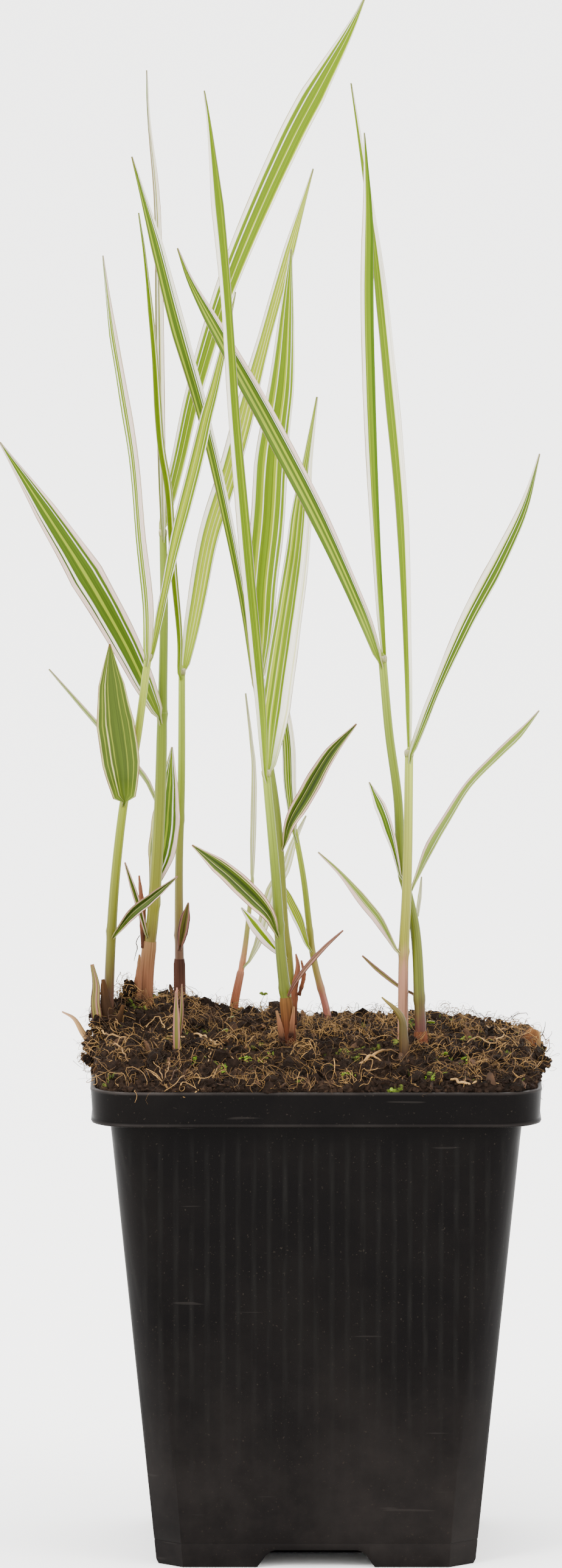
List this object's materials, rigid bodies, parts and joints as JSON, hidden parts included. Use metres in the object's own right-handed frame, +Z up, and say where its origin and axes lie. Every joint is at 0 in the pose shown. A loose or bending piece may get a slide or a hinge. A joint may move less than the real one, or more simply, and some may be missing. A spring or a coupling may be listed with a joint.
{
  "type": "potted reed canary grass",
  "caption": "Young variegated reed canary grass clump with upright striped leaves, rooted in soil in a square tapered nursery pot.",
  "frame": {"origin": "middle of the floor panel's flat underside, where the pot stands", "axes": "+Z up along the pot's middle, -Y towards the side seen in the picture, +X to that view's right"},
  "size_m": [0.1085, 0.0898, 0.31],
  "materials": {
    "pot_plastic": "satin black moulded polypropylene, dusty and scratched",
    "soil": "moist peat with roots and moss",
    "stem": "fresh green grass stem, pink and brown at the foot",
    "leaf": "thin fresh blade, green with cream lengthwise stripes"
  },
  "bodies": {
    "root": {"pot": "pot_plastic", "soil": "soil", "stem_left": "stem", "stem_tall": "stem", "stem_slim": "stem", "stem_front": "stem", "stem_middle": "stem", "stem_back": "stem", "stem_pink": "stem", "stem_right": "stem", "stem_right_front": "stem", "sprout_front": "stem", "sprout_right": "stem", "sprout_edge": "stem", "scale_left": "leaf", "leaf_left_low": "leaf", "leaf_left_upright": "leaf", "leaf_left_white": "leaf", "leaf_left_bright": "leaf", "leaf_tall_foot": "leaf", "leaf_tall_behind": "leaf", "leaf_tall_thin": "leaf", "leaf_tall_broad": "leaf", "leaf_tall_rolled": "leaf", "leaf_tall_long": "leaf", "leaf_slim_foot": "leaf", "leaf_slim_rolled": "leaf", "leaf_slim_wide": "leaf", "leaf_front_purple": "leaf", "leaf_front_arching": "leaf", "leaf_front_broad": "leaf", "leaf_front_folded": "leaf", "leaf_middle_bitten": "leaf", "leaf_middle_side": "leaf", "leaf_middle_broad": "leaf", "leaf_middle_long": "leaf", "leaf_back_low": "leaf", "leaf_back_upper": "leaf", "leaf_pink_side": "leaf", "leaf_pink_thin": "leaf", "leaf_right_wisp": "leaf", "leaf_right_inner": "leaf", "leaf_right_outer": "leaf", "leaf_right_leaning": "leaf", "leaf_right_upright": "leaf", "leaf_right_front_inner": "leaf", "leaf_right_front_outer": "leaf", "leaf_right_front_upright": "leaf"}
  },
  "joints": []
}
